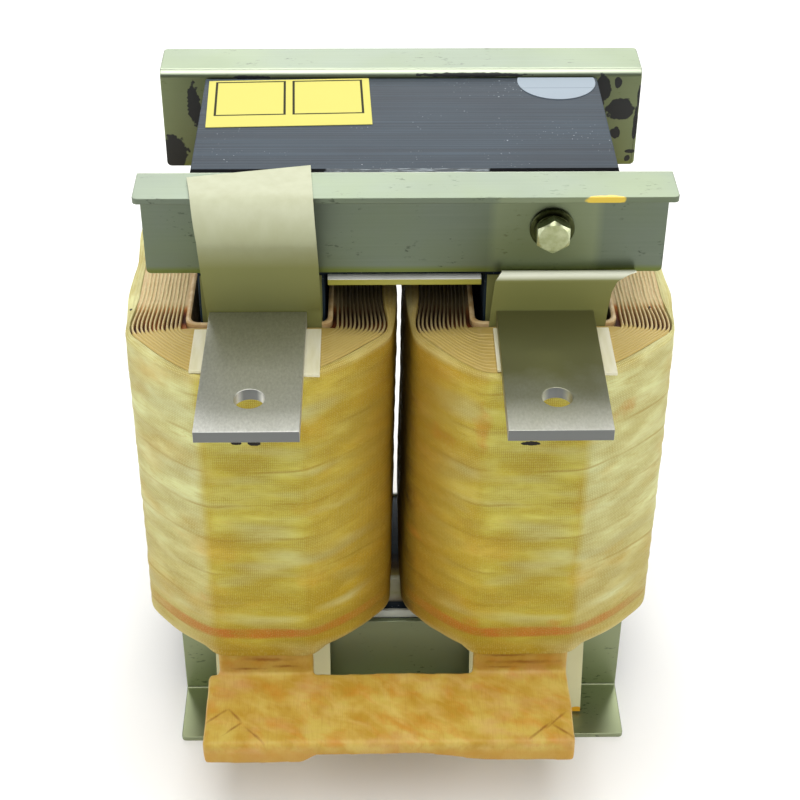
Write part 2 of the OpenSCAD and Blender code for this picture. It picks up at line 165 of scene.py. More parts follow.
def mesh_of(name, bm):
    mesh = bpy.data.meshes.new(name)
    bm.to_mesh(mesh)
    bm.free()
    return mesh


def place_camera():
    data = bpy.data.cameras.new("camera")
    data.lens = LENS
    data.sensor_width = 36
    camera = placed("camera", data)
    turn = (Matrix.Rotation(-CAMERA_YAW, 4, "Z")
            @ Matrix.Rotation(math.pi / 2 - CAMERA_PITCH, 4, "X")
            @ Matrix.Rotation(CAMERA_ROLL, 4, "Z"))
    camera.matrix_world = Matrix.Translation(CAMERA_PLACE) @ turn
    bpy.context.scene.camera = camera


def soft_light(name, place, aim, size, power):
    data = bpy.data.lights.new(name, "AREA")
    data.size = size
    data.energy = power
    way = Vector(aim) - Vector(place)
    turn = way.to_track_quat("-Z", "Y").to_matrix().to_4x4()
    placed(name, data).matrix_world = Matrix.Translation(place) @ turn


def make_studio():
    soft_light("rear_light", (0, 1.5, 1.3), (0, 0, 0.25), 1.5, 30)
    soft_light("top_light", (0, -0.2, 1.5), (0, 0, 0.15), 0.9, 10)
    soft_light("front_light", (0, -1.25, 1.75), (0, -0.2, 0.1), 0.9, 10)
    soft_light("left_light", (-1.5, -0.5, 0.75), (0, 0, 0.15), 1.1, 11)
    soft_light("right_light", (1.5, -0.5, 0.75), (0, 0, 0.15), 1.1, 11)
    world = bpy.data.worlds.new("studio")
    world.use_nodes = True
    world.node_tree.nodes["Background"].inputs["Color"].default_value = colour("#ffffff")
    world.node_tree.nodes["Background"].inputs["Strength"].default_value = 0.25
    bpy.context.scene.world = world
    bpy.context.scene.view_settings.view_transform = "Standard"
    bm = bmesh.new()
    bmesh.ops.create_grid(bm, x_segments=1, y_segments=1, size=8)
    floor = placed("floor", mesh_of("floor", bm))
    floor.data.materials.append(pale_floor())


# ---- helpers for materials, in millimetres ----

def colour(hex_value):
    """Linear colour of an sRGB hex value."""
    parts = [int(hex_value[i:i + 2], 16) / 255 for i in (1, 3, 5)]
    return tuple(c / 12.92 if c <= 0.04045 else ((c + 0.055) / 1.055) ** 2.4 for c in parts) + (1,)


def add(tree, kind, inputs=None, out=None, stops=(), **settings):
    """Adds a node with its settings, values and links, and returns one of its outputs."""
    node = tree.nodes.new("ShaderNode" + kind)
    for name, value in settings.items():
        setattr(node, name, value)
    for key, value in (inputs or {}).items():
        socket = node.inputs[key] if isinstance(key, int) else next(
            s for s in node.inputs if s.enabled and s.name == key)
        if isinstance(value, Value):
            tree.links.new(value.socket, socket)
        else:
            socket.default_value = value
    for place, (position, tone) in enumerate(stops):
        elements = node.color_ramp.elements
        element = elements[place] if place < len(elements) else elements.new(position)
        element.position = position
        element.color = colour(tone)
    if not node.outputs:
        return None
    return Value(node.outputs[out] if out else next(s for s in node.outputs if s.enabled))


class Value:
    """What a node gives out. Reckoning with it adds nodes to its tree."""

    def __init__(self, socket):
        self.socket = socket
        self.tree = socket.id_data

    def math(self, operation, *others):
        return add(self.tree, "Math", dict(enumerate((self, *others))), operation=operation)

    def __abs__(self):
        return self.math("ABSOLUTE")

    def __mul__(self, other):
        return self.math("MULTIPLY", other)

    def __add__(self, other):
        return self.math("ADD", other)

    def __sub__(self, other):
        return self.math("SUBTRACT", other)

    def __rsub__(self, other):
        return self.math("MULTIPLY_ADD", -1, other)

    def ramp(self, low, high, top=1.0, bottom=0.0):
        """The value spread from bottom at low to top at high, and held there."""
        return add(self.tree, "MapRange", {"Value": self, "From Min": low, "From Max": high,
                                           "To Min": bottom, "To Max": top})

    def band(self, low, high, soft):
        """Mask that is 1 where the value lies between low and high, with soft edges."""
        return self.ramp(low - soft, low + soft) * self.ramp(high + soft, high - soft)

    def tones(self, *stops):
        """Colours at some values, blended in between."""
        return add(self.tree, "ValToRGB", {"Fac": self}, stops=stops)


def blend(mask, below, above, kind="MIX"):
    """One tone turned to another where a mask is 1. Either may be a hex value."""
    below, above = (colour(tone) if isinstance(tone, str) else tone for tone in (below, above))
    return add(mask.tree, "Mix", {"Factor": mask, "A": below, "B": above}, data_type="RGBA",
               blend_type=kind)


def split(vector):
    """X, Y and Z of a vector."""
    parts = add(vector.tree, "SeparateXYZ", {"Vector": vector}).socket.node.outputs
    return [Value(part) for part in parts]


def place_on(tree, kind):
    """A texture coordinate of some kind, in mm."""
    return add(tree, "Mapping", {"Vector": add(tree, "TexCoord", out=kind), "Scale": (1 / MM,) * 3})


def attribute(coords, name):
    return add(coords.tree, "Attribute", attribute_name=name, out="Fac")


def facing_of(coords):
    """X, Y and Z of the way a surface faces."""
    return split(add(coords.tree, "NewGeometry", out="Normal"))


def new_material(name):
    """A material, and its object coordinates in mm."""
    material = bpy.data.materials.new(name)
    material.use_nodes = True
    material.node_tree.nodes.clear()
    return material, place_on(material.node_tree, "Object")


def surface(material, height=None, depth=0.0, **values):
    """Closes a material with its surface shader, over a bump of some depth in mm."""
    tree = material.node_tree
    inputs = {name.replace("_", " "): value for name, value in values.items()}
    if height is not None:
        inputs["Normal"] = add(tree, "Bump", {"Height": height, "Distance": depth * MM})
    shader = add(tree, "BsdfPrincipled", inputs)
    add(tree, "OutputMaterial", {"Surface": shader})
    return material


def mottle(coords, size, stretch=(1, 1, 1), detail=3, roughness=0.5):
    """Cloudy patches about size across, drawn out by stretch, from 0 to 1."""
    spots = add(coords.tree, "Mapping", {"Vector": coords, "Scale": [1 / (size * s) for s in stretch]})
    return add(coords.tree, "TexNoise", {"Vector": spots, "Scale": 1.0, "Detail": detail,
                                         "Roughness": roughness})


def mottled(name, size, stops, stretch=(1, 1, 1), detail=3, **values):
    """A material of one cloudy tone."""
    material, coords = new_material(name)
    return surface(material, Base_Color=mottle(coords, size, stretch, detail).tones(*stops), **values)


def patch(coords, middle, reach, ragged=0.35, grit=4, soft=0.1, turn=0):
    """Mask of one ragged patch of paint or varnish, 1 inside and 0 outside. It may be turned about Z
    by some degrees."""
    place = add(coords.tree, "Mapping", {"Vector": coords, "Location": middle, "Scale": reach,
                                         "Rotation": (0, 0, math.radians(turn))}, vector_type="TEXTURE")
    far = add(coords.tree, "VectorMath", {0: place}, operation="LENGTH", out="Value")
    return ((mottle(coords, grit) - 0.5) * (4 * ragged) + far).ramp(1.0, 1.0 - soft)


def dirty(coords, tone):
    """A tone with the specks of dirt and smears of ink on it."""
    for middle, reach in DIRT:
        tone = blend(patch(coords, middle, reach, 0.2, 1.2), tone, "#1c1a16")
    return tone


def painted_shade_under_clamp(x, y):
    """Mask of painted shade in the corners where the coils face each other under the clamps."""
    return abs(x).ramp(40, 24) * abs(y).ramp(60, 42, 0.9)


# ---- materials: floor and metals ----

def pale_floor():
    """Matt studio paper: plain and nearly white."""
    return surface(new_material("studio_paper")[0], Base_Color=colour("#f4f4f2"), Roughness=0.9)


def varnished_steel():
    """Zinc-plated sheet under a thin coat of green-yellow varnish. Satin, with fine rolling lines
    along the angle, a painted highlight along the bend of the top clamps, and wiped paler over a part
    of the front web. The lower clamps and the rear top clamp's web are painted lighter, as painted
    light. The varnish is deeper in a line where it has run to the lower edges."""
    material, coords = new_material("varnished_zinc_plated_steel")
    x, y, z = split(coords)
    rolling = mottle(coords, 1.2, (60, 1, 1), detail=4)
    clouds = mottle(coords, 30, (2, 1, 1))
    tone = blend(rolling * 0.5, clouds.tones((0.3, "#636d5d"), (0.7, "#6f796a")), "#7c8576")
    tone = blend(mottle(coords, 45).ramp(0.4, 0.65, 0.5), tone, "#6d785a")
    # Painted light: the lower clamps, near the floor, are lighter.
    tone = blend(z.ramp(62, 40), tone, "#949c7c")
    tone = blend(z.band(WEB_LOW - 2, WEB_LOW + 2.4, 1.0) * 0.75, tone, "#6a752c")
    scuffs = mottle(coords, 1.3, (2.5, 1, 1), detail=4).ramp(0.6, 0.66)
    tone = blend(scuffs * mottle(coords, 16).ramp(0.52, 0.64, 0.6), tone, "#2c3128")
    up = facing_of(coords)[2]
    over_coils = z.ramp(200, 210)
    # Painted highlight along the bend between web and flange of the top clamps.
    bend = up.ramp(0.4, 0.7, 0.9) * up.ramp(0.999, 0.97) * abs(y).ramp(53, 50) * over_coils
    tone = blend(bend, tone, "#b0b8a2")
    # Painted light: the rear top clamp's web, over the coils, is lighter.
    tone = blend(y.ramp(30, 40, 0.5) * over_coils * up.ramp(0.4, 0.2), tone, "#8b9468")
    wiped = x.band(35, 78, 2) * y.ramp(-44, -46) * z.ramp(236, 240, 0.28) * up.ramp(0.5, 0.3)
    tone = blend(wiped, tone, "#a4ae80")
    drip = patch(coords, (76.5, -69, 287), (9.5, 4, 3), 0.1)
    tone = blend(drip, tone, "#d8b93a")
    paint = None
    for middle, reach in PAINT_MARKS:
        mark = patch(coords, middle, reach)
        paint = paint.math("MAXIMUM", mark) if paint else mark
    tone = blend(paint, tone, "#15181a")
    bare = 1 - paint.math("MAXIMUM", drip)
    return surface(material, rolling, 0.02, Base_Color=tone, Metallic=bare,
                   Roughness=clouds.ramp(0.3, 0.7, 0.46, bottom=0.36))


def rolled_aluminium():
    """Rolled aluminium bar: bright matt grey with a fine grain and small marks. The sawn front end is
    painted darker, as painted shade, and the top is painted darker and greener towards the rear, more
    on the right bar, as painted shade and a painted reflection of the green clamp behind it."""
    material, coords = new_material("rolled_aluminium_bar")
    x, y, _ = split(coords)
    grain = mottle(coords, 0.8, (1.2, 2.5, 1), detail=5, roughness=0.7)
    # Painted shade and painted reflection: the top turns darker and greener towards the rear, with a ragged
    # front, more on the right bar.
    ragged_reach = mottle(coords, 14, detail=4) * 26 + y
    film = ragged_reach.ramp(-138, -78) * x.ramp(-20, 20, bottom=0.25)
    tone = blend(film, grain.tones((0.3, "#cbcbc6"), (0.7, "#e6e6e1")), "#8f8e66")
    marks = mottle(coords, 5, detail=6, roughness=0.75)
    tone = blend(marks.ramp(0.66, 0.76, 0.6), tone, "#77786f")
    # Painted shade: faces turned to the front, the sawn ends, are darker.
    tone = blend(facing_of(coords)[1].ramp(-0.6, -0.9), tone, "#797b79")
    return surface(material, grain, 0.012, Base_Color=tone, Metallic=1.0, Roughness=0.5)


def passivated_zinc(name, deep, bright):
    """Zinc plating with a yellow passivated film: satin with a green-yellow cast, deep on the washers
    and bright on the heads and nuts."""
    return mottled(name, 3, ((0.3, deep), (0.7, bright)), Metallic=1.0, Roughness=0.33)


def lamination_paint():
    """Blue-grey air-drying varnish over stacked core sheets: satin, with a fine line per sheet.
    The sheets are half a millimetre thick, and the lines are drawn a little coarser, to show. The
    upper yoke's top front edge is painted black, as the painted shadow of the groove by the clamp, but
    for a bare stretch painted with glints. Olive resin has pooled on the lower yoke between the coils,
    with a painted glint line across it and painted shade towards the rear."""
    material, coords = new_material("varnished_core_laminations")
    x, y, z = split(coords)
    sheets = mottle(coords, 0.55, (400, 1, 400), detail=2)
    tone = sheets.tones((0.3, "#1b2a35"), (0.7, "#344856"))
    tone = blend(mottle(coords, 25, (3, 1, 1)), tone, "#4d5963", "SOFT_LIGHT")
    dust = mottle(coords, 1.1, detail=1).ramp(0.71, 0.77, 0.7)
    tone = blend(dust * mottle(coords, 28).ramp(0.5, 0.62), tone, "#c4ccd0")
    # Painted shadow: the upper yoke's top front edge is black where the groove by the clamp lies in shade;
    # along a bare stretch it carries painted glint dashes instead.
    rim = z.ramp(CORE_TOP - 5, CORE_TOP - 4) * y.ramp(-38.0, -38.4)
    bare = (mottle(coords, 6, (3, 1, 1)) * 6 + x).band(-28, 36, 0.5)
    glint = blend(mottle(coords, 1.2, (5, 0.5, 1)).ramp(0.52, 0.64), "#2b3338", "#8d979c")
    tone = blend(rim, tone, blend(bare, "#08090b", glint))
    # Resin pooled on the lower yoke between the coils: olive at the front, with a painted glint line across
    # it and painted shade, dark brown to black, towards the rear.
    pool_with_painted_light = y.ramp(-35, 0).tones((0.0, "#a8986a"), (0.12, "#c0b860"), (0.38, "#d0ca7c"),
                                (0.46, "#f0f0c0"), (0.5, "#b09c48"), (0.65, "#5a4210"), (0.85, "#1c160c"))
    pooled = z.band(YOKE_TOP - 2.5, YOKE_TOP + 1.5, 0.5) * y.band(-36, -2, 1) * x.band(-14, 9, 2)
    tone = blend(pooled, tone, pool_with_painted_light)
    wetted = pooled * y.ramp(-17, -20)
    black = rim * (1 - bare)
    return surface(material, sheets, 0.12, Base_Color=tone, Roughness=wetted.ramp(0, 1, 0.25, bottom=0.55),
                   IOR=black * -0.25 + wetted.ramp(0, 1, 1.5, bottom=1.3))


# ---- materials: boards, papers and films ----

def black_pressboard():
    """Calendered black insulation board: nearly matt."""
    return mottled("black_pressboard", 2, ((0.3, "#141516"), (0.7, "#222425")), Roughness=0.6)


def white_laminate():
    """Glass-polyester laminate sheet: white and smooth, its cut edges yellow with varnish."""
    material, coords = new_material("white_glass_polyester_laminate")
    tone = mottle(coords, 12).tones((0.3, "#e6e8de"), (0.7, "#f4f5ef"))
    tone = blend(facing_of(coords)[2].ramp(0.6, 0.3), tone, "#a9a43e")
    return surface(material, Base_Color=tone, Roughness=0.4)


def strip_board():
    """Strips of pale grey laminate: smooth, dull and a little dusty."""
    return mottled("pale_grey_laminate", 9, ((0.3, "#b4baae"), (0.7, "#cdd1c8")), (3, 1, 1),
                   Roughness=0.45)


def barrier_paper():
    """Film-faced insulating paper, pale green-yellow: smooth, with a faint fibre cloud. It is painted
    darker where it leaves the coils at the top, as painted shade, and paler on the crest of the right
    curl and low down, as painted light. It has an amber bead of varnish at the foot."""
    material, coords = new_material("film_faced_insulating_paper")
    x, _, z = split(coords)
    tone = mottle(coords, 6, (1, 1, 3), detail=5).tones((0.3, "#abad8f"), (0.7, "#b3b699"))
    upper, right = z.math("GREATER_THAN", 150), x.math("GREATER_THAN", 0)
    # Painted shade: the upper sheets darken below the fold, down towards the coils.
    tone = blend(z.ramp(287, 259) * upper, tone, "#80824c")
    # Painted light: the crest of the right curl is pale.
    tone = blend(z.ramp(242, 244) * right, tone, "#f0f2dc")
    # Painted light: the sheets are paler low down, on the aprons at the foot.
    tone = blend(z.ramp(90, 70), tone, "#d6d3a6")
    tone = blend(patch(coords, (84, -64.5, 3.5), (5.5, 4, 2.6), 0.1), tone, "#e0a51e")
    return surface(material, mottle(coords, 0.8), 0.02, Base_Color=tone, Roughness=0.55, IOR=1.35)


def resin_board():
    """Pressboard tube soaked in resin: tan, darker where the resin is thick."""
    return mottled("resin_soaked_pressboard", 5, ((0.25, "#b08a52"), (0.7, "#dcc494")), detail=5,
                   Roughness=0.4)


def cream_pressboard():
    """Undyed pressboard pad: cream, faintly streaked along the grain."""
    material, coords = new_material("cream_pressboard")
    streaks = mottle(coords, 3, (1, 6, 1), detail=5)
    tone = streaks.tones((0.3, "#d3cda8"), (0.75, "#e2dec8"))
    return surface(material, streaks, 0.03, Base_Color=tone, Roughness=0.6)


def layer_paper():
    """Edges of the paper wound between the foils, stiff with resin: cream along the sides, and olive
    where the papers are packed close. Brown low down."""
    material, coords = new_material("resin_stiffened_layer_paper")
    x, y, _ = split(coords)
    fibres = mottle(coords, 1.5, detail=5)
    tone = blend(attribute(coords, "packed"), fibres.tones((0.3, "#c4b079"), (0.75, "#d6c591")), "#bda55e")
    tone = blend(attribute(coords, "resin"), tone, "#8a4a16")
    # Painted shade, dark brown, where the coils face each other under the clamps; then the specks of dirt.
    tone = dirty(coords, blend(painted_shade_under_clamp(x, y), tone, "#30240f"))
    return surface(material, fibres, 0.05, Base_Color=tone, Roughness=0.5)


def poured_resin():
    """Varnish resin that has run between the paper edges: olive tan where it is packed, sandy along
    the sides, and red-brown to black in the open curves. Satin."""
    material, coords = new_material("poured_varnish_resin")
    x, y, _ = split(coords)
    depth = (mottle(coords, 3, detail=5) - 0.5) * 0.3 + attribute(coords, "resin")
    tone = depth.tones((0.0, "#b79d56"), (0.2, "#cdb587"), (0.5, "#b06c2a"), (0.8, "#743812"),
                       (1.0, "#3c1a08"))
    # Painted shade, nearly black, where the coils face each other under the clamps.
    tone = blend(painted_shade_under_clamp(x, y), tone, "#0e0a05")
    return surface(material, Base_Color=tone, Roughness=0.6, IOR=1.3)


# ---- materials: glass tapes ----

def weave(around, along):
    """Plain weave of glass threads as a height from 0 to 1. Real threads lie half a millimetre
    apart, and they are drawn coarser, so that they show."""
    warp, weft = (add(way.tree, "TexWave", {"Vector": add(way.tree, "CombineXYZ", {"X": way}),
                                            "Scale": 2 * math.pi / (20 * THREAD)})
                  for way in (around, along))
    return warp * weft


def coil_tape():
    """Woven glass tape, half-lapped round the coil and dipped in varnish: yellow and satin, in soft
    level bands, with pale dry patches, amber pools, stains and one orange band near the foot. It is
    painted paler on the outer faces, as painted light, and deeper where the coils face each other, as
    painted shade that turns nearly black at the gap between them. It is darker in spots along the
    creases."""
    material, coords = new_material("varnished_glass_coil_tape")
    x, y, _ = split(coords)
    uv = place_on(coords.tree, "UV")
    around, up, _ = split(uv)
    facing = attribute(coords, "facing")
    tone = mottle(uv, 10, (4, 1, 1), detail=2).tones((0.32, "#c2b03c"), (0.5, "#cbc152"), (0.68, "#d3ce6a"))
    # Painted light: the outer faces of the coils are paler.
    tone = blend(facing.ramp(0, 1, 0.6), tone, "#dae3b6")
    # Painted shade: the faces towards the other coil are deeper.
    tone = blend(facing.ramp(0, -1, 0.35), tone, "#ba8f1c")
    tone = blend(up.ramp(0.55 * (COIL_TOP - COIL_LOW), 0, 0.7), tone, "#b0920a")
    tone = blend(mottle(uv, 20, (1.6, 1, 1), detail=5).ramp(0.53, 0.7, 0.45), tone, "#c8941a")
    dry = mottle(uv, 11, (4, 1, 1), detail=1)
    aside = abs(x)
    tone = blend(dry.ramp(0.52, 0.78, 0.6) * aside.ramp(4, 24), tone, "#ccd3a4")
    # Painted shade: darker and browner towards the gap between the coils, nearly black at it.
    tone = blend(aside.ramp(36, 10, 0.3), tone, "#bc8c0a")
    tone = blend(aside.ramp(24, 3, 0.85), tone, "#946200")
    tone = blend(aside.ramp(6, 2, 0.8), tone, "#221602")
    contours = mottle(uv, 5, (5, 1, 1), detail=4).band(0.47, 0.49, 0.015)
    tone = blend(contours * dry.ramp(0.62, 0.42, 0.35), tone, "#a8861a")
    laps = mottle(uv, 26, (3, 1, 1), detail=2) * 9 + up
    seam = laps.math("PINGPONG", LAP).ramp(0.9, 0.2)
    tone = blend(seam * mottle(uv, 9, (4, 1, 1)).ramp(0.42, 0.6, 0.6), tone, "#9c7c16")
    spotty = mottle(uv, 5, (1, 2.5, 1)).ramp(0.34, 0.66, 0.6)
    tone = blend(attribute(coords, "crease") * spotty, tone, "#b29018")
    for middle, reach in STAINS:
        tone = blend(patch(coords, middle, reach, 0.5, 6, soft=0.9) * 0.55, tone, "#cc7420")
    ragged = mottle(uv, 8, (4, 1, 1)) * 3 + up
    front = y.ramp(-58, -86)
    tone = blend(ragged.ramp(15, 6, 0.5) * front, tone, "#a4741a")
    worn = mottle(uv, 12).ramp(0.3, 0.6, 0.9, bottom=0.6)
    tone = blend(ragged.band(16.0, 20.8, 0.7) * worn * front, tone, "#c4541a")
    tone = blend(attribute(coords, "rim") * 0.5, tone, "#dcd398")
    tone = blend(mottle(uv, 0.7, (12, 1, 1), detail=2).ramp(0.48, 0.7, 0.22), tone, "#ab8e1e")
    threads = weave(around, up)
    tone = blend((1 - threads) * mottle(uv, 11, (2, 1, 1)).ramp(0.3, 0.6, 0.65), tone, "#957914")
    tone = blend(mottle(uv, 0.5, (1.6, 1, 1), detail=1).ramp(0.5, 0.75, 0.22), tone, "#ded48a")
    return surface(material, threads, 0.16, Base_Color=dirty(coords, tone), Roughness=0.5, IOR=1.32)


def lead_tape():
    """Glass tape wound by hand round the lower leads and brushed with amber varnish: ochre with soft
    pale and orange brush strokes, and brown lines of painted shade along the folds at the corners and
    where the leads bend."""
    material, coords = new_material("amber_varnished_lead_tape")
    x, y, z = split(coords)
    tone = mottle(coords, 13, detail=4).tones((0.34, "#b28c2c"), (0.5, "#bd9c40"), (0.66, "#c6ae54"))
    tree = coords.tree
    wavy = add(tree, "TexNoise", {"Vector": coords, "Scale": 0.04, "Detail": 2.0}, out="Color")
    swirled = add(tree, "VectorMath", {0: wavy, 1: (16,) * 3, 2: coords}, operation="MULTIPLY_ADD")
    slanting = add(tree, "Mapping", {"Vector": swirled, "Rotation": (0, 0, math.radians(35))})
    tone = blend(mottle(slanting, 5, (3, 1, 1.5), detail=4).ramp(0.46, 0.72, 0.5), tone, "#d2b468")
    strokes = mottle(slanting, 9, (2, 1, 1), detail=5, roughness=0.6)
    tone = blend(strokes.ramp(0.5, 0.68, 0.45), tone, "#c4791c")
    tone = blend(mottle(coords, 10, (2, 1, 1), detail=5).ramp(0.52, 0.7, 0.35), tone, "#c8966c")
    tone = blend(mottle(coords, 0.9, (1, 9, 3)).ramp(0.5, 0.72, 0.2), tone, "#9c6a1e")
    tone = blend(z.band(40, 48.8, 1.5) * 0.6, tone, "#b98620")
    tone = blend(z.ramp(54, 58, 0.4) * y.ramp(-96, -92), tone, "#a88032")
    # Painted shade: brown lines along the folds of the tape.
    for middle, reach, turn in FOLDS:
        fold = patch(coords, middle, reach, 0.3, 4, soft=0.95, turn=turn)
        tone = blend(fold * 0.8, tone, "#84501a")
    return surface(material, weave(x, y + z), 0.05, Base_Color=tone, Roughness=0.48, IOR=1.4)


# ---- materials: labels ----

def label_film(name, ground, ink, middle, turn, frames):
    """Printed polyester film label, left blank: only plain frames and lines are printed. Their
    corners are set from the label's middle, along its own sides."""
    material, coords = new_material(name)
    place = add(coords.tree, "Mapping", {"Vector": coords, "Location": (*middle, 0),
                                         "Rotation": (0, 0, math.radians(turn))}, vector_type="TEXTURE")
    along, across, _ = split(place)
    tone = colour(ground)
    for low_x, low_y, high_x, high_y in frames:
        outer, inner = (along.band(low_x + line, high_x - line, 0.05)
                        * across.band(low_y + line, high_y - line, 0.05) for line in (0, FRAME_LINE))
        tone = blend(outer - inner, tone, ink)
    return surface(material, Base_Color=tone, Roughness=0.7, IOR=1.2)


# ---- helpers for shapes, all in millimetres ----

def wander(x, y, z=0.0, size=10.0, seed=0.0):
    """Smooth noise from about -1 to 1 whose waves are about size long."""
    return noise.noise(Vector((x, y, z)) / size + Vector((seed, 3.7 * seed, 7.9 * seed)))


def show(name, bm, material, slot, *nodes):
    """Makes a shown piece of a mesh in millimetres, standing for some CAD nodes."""
    bmesh.ops.scale(bm, vec=(MM, MM, MM), verts=bm.verts)
    obj = placed(name, mesh_of(name, bm))
    obj.data.materials.append(material)
    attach(obj, "root")
    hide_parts(*nodes)
    return obj


def smooth(bm, sharp=40):
    """Shades a mesh smooth, but for the edges that are sharper than some degrees."""
    bmesh.ops.recalc_face_normals(bm, faces=bm.faces)
    for face in bm.faces:
        face.smooth = True
    for edge in bm.edges:
        edge.smooth = len(edge.link_faces) != 2 or edge.calc_face_angle() < math.radians(sharp)


def eased(node, material, slot, width=0.3, move=None):
    """A CAD node with its sharp edges rounded a little, as on real sheared or sawn parts, and its
    points moved a little where a part sits askew."""
    bm = bmesh.new()
    bm.from_mesh(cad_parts[node].data)
    bmesh.ops.scale(bm, vec=(1 / MM,) * 3, verts=bm.verts)
    bmesh.ops.remove_doubles(bm, verts=bm.verts, dist=0.003)
    bmesh.ops.dissolve_limit(bm, angle_limit=math.radians(1), verts=bm.verts, edges=bm.edges)
    for vert in bm.verts:
        vert.co += Vector(move(vert.co)) if move else Vector()
    smooth(bm)
    obj = show("shown_" + node, bm, material, slot, node)
    bevel = obj.modifiers.new("eased_edges", "BEVEL")
    bevel.width = width * MM
    bevel.segments = 2
    bevel.limit_method = "ANGLE"
    bevel.angle_limit = math.radians(40)
    obj.modifiers.new("flat_faces", "WEIGHTED_NORMAL").keep_sharp = True


def skin(bm, rows, closed=True, late=0):
    """Stretches a grid over rows of points. Rows that close on themselves are welded, and so are the
    first and last rows where they are alike. The UV is the way along a row and across the rows. It
    counts from the rows' first point, or from the one before which they begin some points late."""
    count = len(rows[0])
    across = count if closed else count - 1
    origin = -late % count
    widest = max(rows, key=lambda row: sum((a - b).length for a, b in zip(row, row[1:])))
    along, rise = [0.0], [0.0]
    for i in range(across):
        along.append(along[-1] + (widest[(i + 1) % count] - widest[i]).length * MM)
    for below, above in zip(rows, rows[1:]):
        rise.append(rise[-1] + (above[origin] - below[origin]).length * MM)
    ahead = (along[-1] if late > 0 else 0.0) - along[origin]
    made = bmesh.ops.create_grid(bm, x_segments=across, y_segments=len(rows) - 1, size=1)["verts"]
    uv = bm.loops.layers.uv.verify()
    for vert in made:
        i = round((vert.co.x + 1) / 2 * across)
        j = round((vert.co.y + 1) / 2 * (len(rows) - 1))
        vert.co = rows[j][i % count]
        for loop in vert.link_loops:
            loop[uv].uv = (ahead + along[i], rise[j])
    bmesh.ops.remove_doubles(bm, verts=made, dist=1e-4)


def quarter(half_w, flat, facet, end, bulge):
    """Points of a coil's outline from the middle of its side round to the middle of its end."""
    on_side, on_slant, on_end = 22, 28, 10
    start, stop = Vector((half_w, flat)), Vector((facet, end))
    out = Vector((stop.y - start.y, start.x - stop.x)).normalized() * bulge
    side = [Vector((half_w, flat * i / on_side)) for i in range(on_side)]
    slant = [start.lerp(stop, t) + out * 4 * t * (1 - t) for t in (i / on_slant for i in range(on_slant))]
    return side + slant + [Vector((facet * (1 - i / on_end), end)) for i in range(on_end + 1)]


def outline(half_w, flat, facet, front, rear, bulge, shift=0.0, rounding=8):
    """Closed outline of a coil from the middle of its rear, its front facet set over by a shift. The
    flat is half a straight side, the facet half a blunt end, and a slant bulges between them."""
    far, near = (quarter(half_w, flat, facet, end, bulge) for end in (rear, front))
    loop = ([p.copy() for p in far[:0:-1]]
            + [Vector((p.x, -p.y)) for p in near[:-1]]
            + [Vector((-p.x, -p.y)) for p in near[:0:-1]]
            + [Vector((-p.x, p.y)) for p in far[:-1]])
    for p in loop:
        if p.y < -flat:
            p.x += shift * (-p.y - flat) / (front - flat)
    for _ in range(rounding):
        loop = [(loop[i - 1] + 2 * p + loop[(i + 1) % len(loop)]) / 4 for i, p in enumerate(loop)]
    return loop


def begun(loop, late):
    """The same outline, begun some points later."""
    return loop[late:] + loop[:late]


def between(inner, outer, share):
    return [a.lerp(b, share) for a, b in zip(inner, outer)]


def ways(loop):
    """Outward direction at each point of a closed outline."""
    along = [(loop[(i + 1) % len(loop)] - loop[i - 1]).normalized() for i in range(len(loop))]
    return [Vector((-a.y, a.x)) for a in along]


def share_between(value, start, stop):
    """0 at start, 1 at stop, eased in between and held beyond."""
    t = max(0.0, min(1.0, (value - start) / (stop - start)))
    return t * t * (3 - 2 * t)


def drawn_in(loop, amount):
    return [p - way * amount for p, way in zip(loop, ways(loop))]


def flared(loop, amount):
    """An outline whose straight sides swing outward as they come to the corners."""
    moved = []
    for p in loop:
        lean = share_between(abs(p.y), 28, 50) * share_between(abs(p.y), 66, 51)
        moved.append(Vector((p.x + math.copysign(amount * lean, p.x), p.y)))
    return moved


def at(loop, x, z):
    """An outline set at a place, and at a height that may differ from point to point."""
    heights = z if isinstance(z, list) else [z] * len(loop)
    return [Vector((p.x + x, p.y, h)) for p, h in zip(loop, heights)]


# ---- coils ----

def wrap_outlines(side):
    """Outer outline of a coil's glass tape, and the ragged line inside it where the papers begin."""
    shift = LEAD_SHIFT[side]
    outer = outline(WRAP_HALF_W, SIDE_FLAT, FACET, WRAP_FRONT, WRAP_REAR, BULGE, shift, rounding=8)
    inner = outline(WRAP_HALF_W - 6.6, SIDE_FLAT - 2.5, FACET, WRAP_FRONT - 3.2, WRAP_REAR - 3.2,
                    BULGE - 0.5, shift, rounding=5)
    return outer, flared(inner, 2.2)


def paper_outline(side, share):
    """Outline of one of the papers, from the innermost, 0, to the outermost, 1."""
    inner = outline(FORMER_HALF.x + 1.8, FORMER_HALF.y + 1.2, FACET + 6, BAR_BACK + BAR_T + 1.8,
                    FORMER_HALF.y + 2.3, BULGE / 2, 0, rounding=3)
    outer = outline(WRAP_HALF_W - 7.7, SIDE_FLAT - 3, FACET, WRAP_FRONT - 4.2, WRAP_REAR - 4.2,
                    BULGE - 0.5, LEAD_SHIFT[side], rounding=4)
    return flared(between(inner, outer, share), 0.4 + 1.8 * share)


